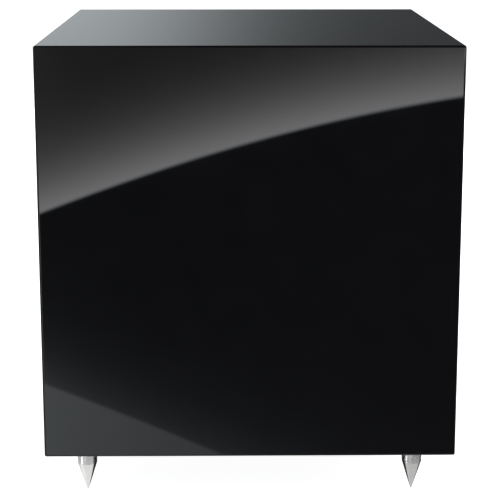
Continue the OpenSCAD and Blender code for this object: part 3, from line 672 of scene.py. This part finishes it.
def round_plate(name, centre, size, radius, y_low, y_high, segments=8):
    """Upright plate facing +Y with round corners, from y_low to y_high."""
    work = bmesh.new()
    outline = []
    for corner, (sx, sz) in enumerate(((1, 1), (-1, 1), (-1, -1), (1, -1))):
        for k in range(segments + 1):
            angle = math.radians(90 * (corner + k / segments))
            x = centre[0] + sx * (size[0] / 2 - radius) + radius * math.cos(angle)
            z = centre[1] + sz * (size[1] / 2 - radius) + radius * math.sin(angle)
            outline.append(work.verts.new((x, y_low, z)))
    face = work.faces.new(outline)
    grown = bmesh.ops.extrude_face_region(work, geom=[face])
    moved = [v for v in grown["geom"] if isinstance(v, bmesh.types.BMVert)]
    bmesh.ops.translate(work, verts=moved, vec=(0, y_high - y_low, 0))
    bmesh.ops.recalc_face_normals(work, faces=work.faces[:])
    return piece_from(name, work)


def lathe(name, outline, centre, sides=96, axis="Z", closed=False, arc=(0.0, 360.0)):
    """Solid of revolution about a line through centre along Z or Y. The outline is a
    list of (radius, height) points: an end at radius 0 closes to a point, and closed
    joins the last point to the first. A part of a turn gets flat ends."""
    work = bmesh.new()
    whole = arc[1] - arc[0] >= 360
    steps = sides if whole else sides + 1
    rings = []
    for radius, height in outline:
        count = 1 if radius == 0 else steps
        ring = []
        for k in range(count):
            turn = math.radians(arc[0] + (arc[1] - arc[0]) * k / sides)
            a, b = radius * math.cos(turn), radius * math.sin(turn)
            spot = (a, b, height) if axis == "Z" else (a, height, b)
            ring.append(work.verts.new(Vector(centre) + Vector(spot)))
        rings.append(ring)
    followers = rings[1:] + ([rings[0]] if closed else [])
    for ring, after in zip(rings, followers):
        for k in range(sides):
            corners = [ring[k % len(ring)], ring[(k + 1) % len(ring)]]
            corners += [after[(k + 1) % len(after)], after[k % len(after)]]
            corners = list(dict.fromkeys(corners))
            if len(corners) > 2:
                work.faces.new(corners)
    if not whole:
        work.faces.new([ring[0] for ring in rings])
        work.faces.new([ring[-1] for ring in rings])
    bmesh.ops.recalc_face_normals(work, faces=work.faces[:])
    return piece_from(name, work)


def cut(piece, *tools, operation="DIFFERENCE"):
    """Takes the tools out of the piece, or keeps what they share, and deletes them."""
    for tool in tools:
        hole = piece.modifiers.new("hole", "BOOLEAN")
        hole.operation = operation
        hole.solver = "EXACT"
        hole.object = tool
    settle(piece)
    for tool in tools:
        bpy.data.objects.remove(tool)
    return piece


def join(name, pieces):
    """One piece of that name from several that have no modifiers."""
    work = bmesh.new()
    for piece in pieces:
        work.from_mesh(piece.data)
        bpy.data.objects.remove(piece)
    return piece_from(name, work)


def copied(piece, shift):
    """Copy of a piece, moved."""
    twin = piece.copy()
    twin.data = piece.data.copy()
    for vert in twin.data.vertices:
        vert.co += Vector(shift)
    scene.collection.objects.link(twin)
    return twin


# ---------- cabinet ----------

PLATE_GAP = 0.4 * MM  # round the amplifier plate in its rebate
SEAT_W = 12 * MM  # width of the step that the plate's edge is screwed to
REBATE_R, WINDOW_R = 6 * MM, 8 * MM  # corners
RECESS_GAP = 1 * MM  # round the driver's flange
FLANGE_W = 10 * MM  # how far the flange reaches over the baffle
PAST = 10 * MM  # how far a cutting shape runs past a face, at least


def amplifier_cuts(wall):
    """Shapes of the rebate that the amplifier plate lies in and of the window inside it."""
    plate_low, plate_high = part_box("amp_plate")
    at = (middle("amp_plate").x, middle("amp_plate").z)
    wide, tall = plate_high.x - plate_low.x, plate_high.z - plate_low.z
    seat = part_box("amp_gasket")[0].y
    size = (wide + 2 * PLATE_GAP, tall + 2 * PLATE_GAP)
    rebate = round_plate("rebate", at, size, REBATE_R, seat, rear_y + PAST)
    size = (wide - 2 * SEAT_W, tall - 2 * SEAT_W)
    window = round_plate("window", at, size, WINDOW_R, rear_y - wall - PAST, rear_y + PAST)
    return rebate, window


def driver_cuts():
    """Shapes of the recess that the driver's flange lies in and of the mouth inside it."""
    flange_low, flange_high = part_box("driver_basket")
    flange_r = (flange_high.x - flange_low.x) / 2
    seal_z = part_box("driver_gasket")[1].z
    cuts = []
    for name, radius, low, high in (
        ("recess", flange_r + RECESS_GAP, base_z - PAST, seal_z),
        ("mouth", flange_r - FLANGE_W, base_z - 2 * PAST, base_z + 3 * PAST),
    ):
        outline = [(0, low), (radius, low), (radius, high), (0, high)]
        cuts.append(lathe(name, outline, (0, axis_y, 0), 160))
    return cuts


def make_cabinet():
    """The lacquered box as one seamless skin with round edges and its two openings."""
    wall = top_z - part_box("top_panel")[0].z
    box = rounded_block("lacquered_cabinet", cabinet_low, cabinet_high, EDGE_R, 8)
    inset = Vector((wall, wall, wall))
    hollow = rounded_block("hollow", cabinet_low + inset, cabinet_high - inset, 0)
    cut(box, hollow, *amplifier_cuts(wall), *driver_cuts())
    smooth(box, 30)
    panels = [side + "_panel" for side in ("front", "rear", "left_side", "right_side", "top")]
    finished(box, "cabinet", "cabinet_lacquer", *panels, "bottom_baffle")


# ---------- spikes ----------

THREAD_PITCH = 1.25 * MM
THREAD_DEPTH = 0.6 * MM
STUD_R = 4 * MM
POINT_H = 26.5 * MM  # height of the pointed part
POINT_TIP = [(0, 0), (0.35, 0.04), (0.62, 0.35), (0.85, 1.0)]  # radius and height, in mm
COLLAR_FOOT = [(0.32, -0.2), (0.08, 0.3), (0, 0.9)]  # inset and height over the point, in mm
COLLAR_RIM = [(0, -0.7), (0.15, -0.25), (0.6, 0)]  # inset and height over its top, in mm
STUD_CHAMFER = 0.8 * MM
NUT_GAP = 0.3 * MM  # between the collar and the lock nut
NUT_FLAT = 6.5 * MM  # from the nut's axis to a flat


def thread_depth(turns, height, low, high):
    """How far the thread's surface lies under its crest at that height and turn."""
    along = (height / THREAD_PITCH - turns) % 1.0
    groove = min(1.0, max(0.0, 3.2 * abs(along - 0.5) - 0.3))
    ends = min(1.0, (height - low) / THREAD_PITCH, (high - height) / THREAD_PITCH)
    return THREAD_DEPTH * (1 - groove) * max(0.0, ends)


def threaded_stud(name, centre, low, high, sides=48, rows_per_turn=10):
    """Closed rod with a screw thread, from low to high."""
    work = bmesh.new()
    rows = round((high - low) / THREAD_PITCH * rows_per_turn)
    rings = []
    for row in range(rows + 1):
        height = low + (high - low) * row / rows
        ring = []
        for k in range(sides):
            turn = 2 * math.pi * k / sides
            radius = STUD_R - thread_depth(k / sides, height, low, high)
            if row == rows:
                radius -= STUD_CHAMFER
            spot = Vector((radius * math.cos(turn), radius * math.sin(turn), height))
            ring.append(work.verts.new(spot + centre))
        rings.append(ring)
    for ring, after in zip(rings, rings[1:]):
        for k in range(sides):
            work.faces.new([ring[k], ring[(k + 1) % sides], after[(k + 1) % sides], after[k]])
    work.faces.new(rings[-1])
    work.faces.new(list(reversed(rings[0])))
    bmesh.ops.recalc_face_normals(work, faces=work.faces[:])
    return piece_from(name, work)


def make_spike(node):
    """Turned point and collar with a screw thread above them."""
    low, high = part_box(node)
    centre = Vector((0, 0, 0))
    reach = (high.x - low.x) / 2
    collar_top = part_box("spike_lock_nuts")[0].z - NUT_GAP
    outline = [(r * MM, z * MM) for r, z in POINT_TIP]
    outline += [(reach - inset * MM, POINT_H + lift * MM) for inset, lift in COLLAR_FOOT]
    outline += [(reach - inset * MM, collar_top + lift * MM) for inset, lift in COLLAR_RIM]
    outline += [(STUD_R - THREAD_DEPTH, collar_top), (0, collar_top)]
    point = lathe("point", outline, centre, 128)
    stud = threaded_stud("stud", centre, collar_top, high.z)
    spike = join("turned_" + node, [point, stud])
    # its own origin lies on its axis, because the turning marks run round that
    spike.location = (middle(node).x, middle(node).y, 0)
    smooth(spike, 28)
    finished(spike, node, "spike_steel", node)
    feet.objects.link(spike)


def make_lock_nuts():
    """Hexagon nuts with turned corners, one on each stud."""
    low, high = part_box("spike_lock_nuts")
    thick = high.z - low.z
    first = Vector((middle("spike_front_left").x, middle("spike_front_left").y, low.z))
    corner_r = NUT_FLAT / math.cos(math.radians(30))
    nut = lathe("nut", [(0, 0), (corner_r, 0), (corner_r, thick), (0, thick)], first, 6)
    face_r = NUT_FLAT * 0.97  # of its flat end, where the turned corners start
    chamfer = (corner_r - face_r) * 0.6
    wide_r = corner_r + 0.1 * MM
    turned = [(0, 0), (face_r, 0), (wide_r, chamfer)]
    turned += [(wide_r, thick - chamfer), (face_r, thick), (0, thick)]
    cut(nut, lathe("turned", turned, first, 96), operation="INTERSECT")
    bore_r, past = STUD_R + 0.05 * MM, 1 * MM
    bore = [(0, -past), (bore_r, -past), (bore_r, thick + past), (0, thick + past)]
    cut(nut, lathe("bore", bore, first, 64))
    places = [middle("spike_" + corner) for corner in ("front_right", "rear_left", "rear_right")]
    copies = [copied(nut, (place.x - first.x, place.y - first.y, 0)) for place in places]
    nuts = join("hexagon_lock_nuts", [nut] + copies)
    smooth(nuts, 20)
    finished(nuts, "cabinet", "plated_steel", "spike_lock_nuts")


# ---------- suspension of the driver -----------------

WEDGES, WEDGE_STEPS = 24, 6


def bending_ring(name, outline, slot, node):
    """Ring of wedges between the basket and the cone."""
    span = 360 / WEDGES
    for k in range(WEDGES):
        centre = Vector((0, axis_y, 0))
        turns = (k * span, (k + 1) * span)
        wedge = lathe(f"{name}_{k + 1:02d}", outline, centre, WEDGE_STEPS, closed=True, arc=turns)
        smooth(wedge, 50)
        finished(wedge, None, slot, node)
        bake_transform(wedge)


ROLL_R = 11 * MM  # outside radius of the surround's half roll
ROLL_T = 1.5 * MM  # thickness of its rubber
ROLL_STEPS = 22


def half_roll(centre_r, top, radius):
    """Points along a half circle that hangs below top, from its inner to its outer side."""
    points = []
    for k in range(ROLL_STEPS + 1):
        turn = math.pi * k / ROLL_STEPS
        points.append((centre_r - radius * math.cos(turn), top - radius * math.sin(turn)))
    return points


def make_surround():
    """Half roll of rubber with a flat lip on each side."""
    low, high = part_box("surround")
    outer, top = (high.x - low.x) / 2, high.z
    cone_r = (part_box("cone")[1].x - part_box("cone")[0].x) / 2
    roll_mid = cone_r + ROLL_R
    roll_out = roll_mid + ROLL_R
    lip_z = top - ROLL_T
    inner = cone_r - 8 * MM
    outline = [(inner, top), (inner, lip_z), (cone_r - 0.3 * MM, lip_z)]
    # without its first and last points, so that it leaves the lips in a soft corner
    outline += half_roll(roll_mid, top, ROLL_R)[3:-3]
    outline += [(roll_out + 0.3 * MM, lip_z), (outer, lip_z), (outer, top)]
    outline += list(reversed(half_roll(roll_mid, top, ROLL_R - ROLL_T)))
    bending_ring("surround", outline, "black_rubber", "surround")


CLOTH_T = 1 * MM
CLOTH_INNER = 31.1 * MM  # just outside the voice coil's former
WAVE_FIRST, WAVE_LAST = 36 * MM, 66 * MM  # radii between which the spider is corrugated
WAVE_COUNT = 5
WAVE_H = 2.2 * MM  # from its middle to a crest
WAVE_STEPS = 50


def make_spider():
    """Corrugated cloth disc between the basket and the former."""
    low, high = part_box("spider")
    outer = (high.x - low.x) / 2
    flat = (low.z + high.z - CLOTH_T) / 2
    lower = []
    for k in range(WAVE_STEPS + 1):
        swing = WAVE_H * math.sin(2 * math.pi * WAVE_COUNT * k / WAVE_STEPS)
        lower.append((WAVE_FIRST + (WAVE_LAST - WAVE_FIRST) * k / WAVE_STEPS, flat + swing))
    upper = [(radius, height + CLOTH_T) for radius, height in reversed(lower)]
    outline = [(CLOTH_INNER, flat)] + lower + [(outer, flat), (outer, flat + CLOTH_T)]
    outline += upper + [(CLOTH_INNER, flat + CLOTH_T)]
    bending_ring("spider", outline, "spider_cloth", "spider")


def half_of(node, name, side):
    """Copy of the part of a CAD node on one side of x = 0."""
    work = bmesh.new()
    work.from_mesh(frame["nodes"][node].data)
    bmesh.ops.remove_doubles(work, verts=work.verts[:], dist=0.002 * MM)
    other = [vert for vert in work.verts if vert.co.x * side < 0]
    bmesh.ops.delete(work, geom=other, context="VERTS")
    return piece_from(name, work)


def make_tinsel_leads():
    """Two braids from the terminals to the cone, one on each side of x = 0."""
    for name, side in (("tinsel_lead_left", -1), ("tinsel_lead_right", 1)):
        lead = half_of("tinsel_leads", name, side)
        lead.data.shade_smooth()
        finished(lead, None, "tinned_braid", "tinsel_leads")
        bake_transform(lead)


# ---------- amplifier panel ----------


plate_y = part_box("amp_plate")[1].y
print_low, print_high = plate_y - 0.02 * MM, plate_y + 0.12 * MM
FINE_LINE, LINE = 0.45 * MM, 0.5 * MM
TICK_START = 12.6 * MM  # from a knob's axis
SIGN_SIDE, SIGN_DOWN = 8.6 * MM, 17.5 * MM  # from a knob's axis to its minus and plus
SIGN_W = 2.4 * MM
MARK_SIDE, MARK_UP = 15 * MM, 8 * MM  # from the rocker's middle to its two marks


def print_block(work, x, z, size_x, size_z, turn_deg=0.0, away=0.0, lift=0.0):
    """Adds a thin block on the plate, turned about (x, z) and moved outward by away."""
    turn = math.radians(turn_deg)
    for vert in bmesh.ops.create_cube(work, size=1)["verts"]:
        a = vert.co.x * size_x
        b = vert.co.z * size_z + away
        spot_x = x + a * math.cos(turn) + b * math.sin(turn)
        spot_y = print_low + (vert.co.y + 0.5) * (print_high + lift - print_low)
        spot_z = z - a * math.sin(turn) + b * math.cos(turn)
        vert.co = Vector((spot_x, spot_y, spot_z))


def print_frame(work, x, z, size_x, size_z, line):
    """Adds a thin rectangular outline on the plate."""
    for side in (-1, 1):
        print_block(work, x, z + side * size_z / 2, size_x + line, line)
        print_block(work, x + side * size_x / 2, z, line, size_z - line)


def print_dial(work, knob):
    """Adds the ticks round a knob, with a minus and a plus under them."""
    at = middle(knob)
    for tick in range(11):
        length, width = (3.2 * MM, 0.7 * MM) if tick % 5 == 0 else (2.0 * MM, FINE_LINE)
        print_block(work, at.x, at.z, width, length, 30 * tick - 150, TICK_START + length / 2)
    for side in (-1, 1):
        print_block(work, at.x + side * SIGN_SIDE, at.z - SIGN_DOWN, SIGN_W, LINE)
    print_block(work, at.x - SIGN_SIDE, at.z - SIGN_DOWN, LINE, SIGN_W, lift=0.01 * MM)


def print_bracket(work, lever):
    """Adds a bracket over a slide switch, with a leg at each end of its slot."""
    at = middle(lever)
    travel = next(row["range_m"][1] for row in frame["joints"] if row["child"] == lever)
    slot_x = at.x - travel / 2
    for side in (-1, 1):
        print_block(work, slot_x + side * 3.6 * MM, at.z + 6.5 * MM, LINE, 2.4 * MM)
    print_block(work, slot_x, at.z + 7.9 * MM, 7.7 * MM, FINE_LINE)


def print_outlines(work):
    """Adds the outlines of the sockets and the light, and the line between the dials."""
    jacks_low, jacks_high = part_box("rca_barrels")
    jacks, led, knob = middle("rca_barrels"), middle("status_led"), middle("volume_knob")
    print_frame(work, jacks.x, jacks.z, jacks_high.x - jacks_low.x + 14 * MM, 24 * MM, FINE_LINE)
    print_frame(work, led.x, led.z, 9 * MM, 9 * MM, 0.4 * MM)
    print_block(work, (knob.x + middle("crossover_knob").x) / 2, knob.z, 0.4 * MM, 34 * MM)


def power_ring():
    """The ring that marks the rocker's off side."""
    rocker = middle("rocker_frame")
    at = (rocker.x - MARK_SIDE, 0, rocker.z - MARK_UP)
    inner, outer = 1.6 * MM, 2.1 * MM
    outline = [(inner, print_low), (outer, print_low), (outer, print_high), (inner, print_high)]
    ring = lathe("power_ring_mark", outline, at, 40, "Y", closed=True)
    smooth(ring, 50)
    return ring


def make_panel_print():
    """Raised print on the plate: dial scales, switch and socket outlines, no lettering."""
    scales, outlines, bar = bmesh.new(), bmesh.new(), bmesh.new()
    print_dial(scales, "volume_knob")
    print_dial(scales, "crossover_knob")
    print_bracket(scales, "phase_lever")
    print_bracket(scales, "mode_lever")
    print_outlines(outlines)
    rocker = middle("rocker_frame")
    print_block(bar, rocker.x - MARK_SIDE, rocker.z + MARK_UP, 0.6 * MM, 4 * MM)
    for piece, look in (
        (piece_from("panel_scales", scales), print_white),
        (piece_from("panel_outlines", outlines), print_grey),
        (piece_from("power_bar_mark", bar), print_white),
        (power_ring(), print_white),
    ):
        finished(piece, "cabinet", "jack_plastic", look=look)


POINTER_W = 1.1 * MM
POINTER_START, POINTER_END = 4.1 * MM, 8.8 * MM  # from the knob's axis
POINTER_BACK, POINTER_FACE = 0.62 * MM, 0.25 * MM  # under the knob's face


def make_pointers():
    """White inlay in each knob's pointer groove."""
    for knob, body in (("volume_knob", "volume_control"), ("crossover_knob", "crossover_control")):
        at = middle(knob)
        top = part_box(knob)[1].y
        low = (at.x - POINTER_W / 2, top - POINTER_BACK, at.z + POINTER_START)
        high = (at.x + POINTER_W / 2, top - POINTER_FACE, at.z + POINTER_END)
        pointer = rounded_block(knob.replace("knob", "pointer"), low, high, 0.1 * MM, 2)
        smooth(pointer)
        finished(pointer, body, "jack_plastic", look=print_white)


def soften_pieces():
    """Small rounded edges on the moulded, cast and machined pieces that can be seen."""
    for node in ("mains_inlet", "rocker_frame", "fuse_drawer", "power_rocker"):
        soften(node, 0.4 * MM, 3)
    for node in ("heatsink", "amp_screws", "volume_knob", "crossover_knob"):
        soften(node, 0.22 * MM, 2)
    for node in ("phase_lever", "mode_lever", "rca_barrels", "inlet_pins", "potentiometers"):
        soften(node, 0.15 * MM, 2)
    for node in ("driver_basket", "surround_trim_ring", "driver_bolts", "spike_inserts"):
        soften(node, 0.3 * MM, 2)


make_camera()
make_world()
make_floor()
make_painted_floor_reflection()
feet = make_lights()
paint_cad_nodes()
make_cabinet()
for corner in ("front_left", "front_right", "rear_left", "rear_right"):
    make_spike("spike_" + corner)
make_lock_nuts()
make_surround()
make_spider()
make_tinsel_leads()
make_panel_print()
make_pointers()
soften_pieces()
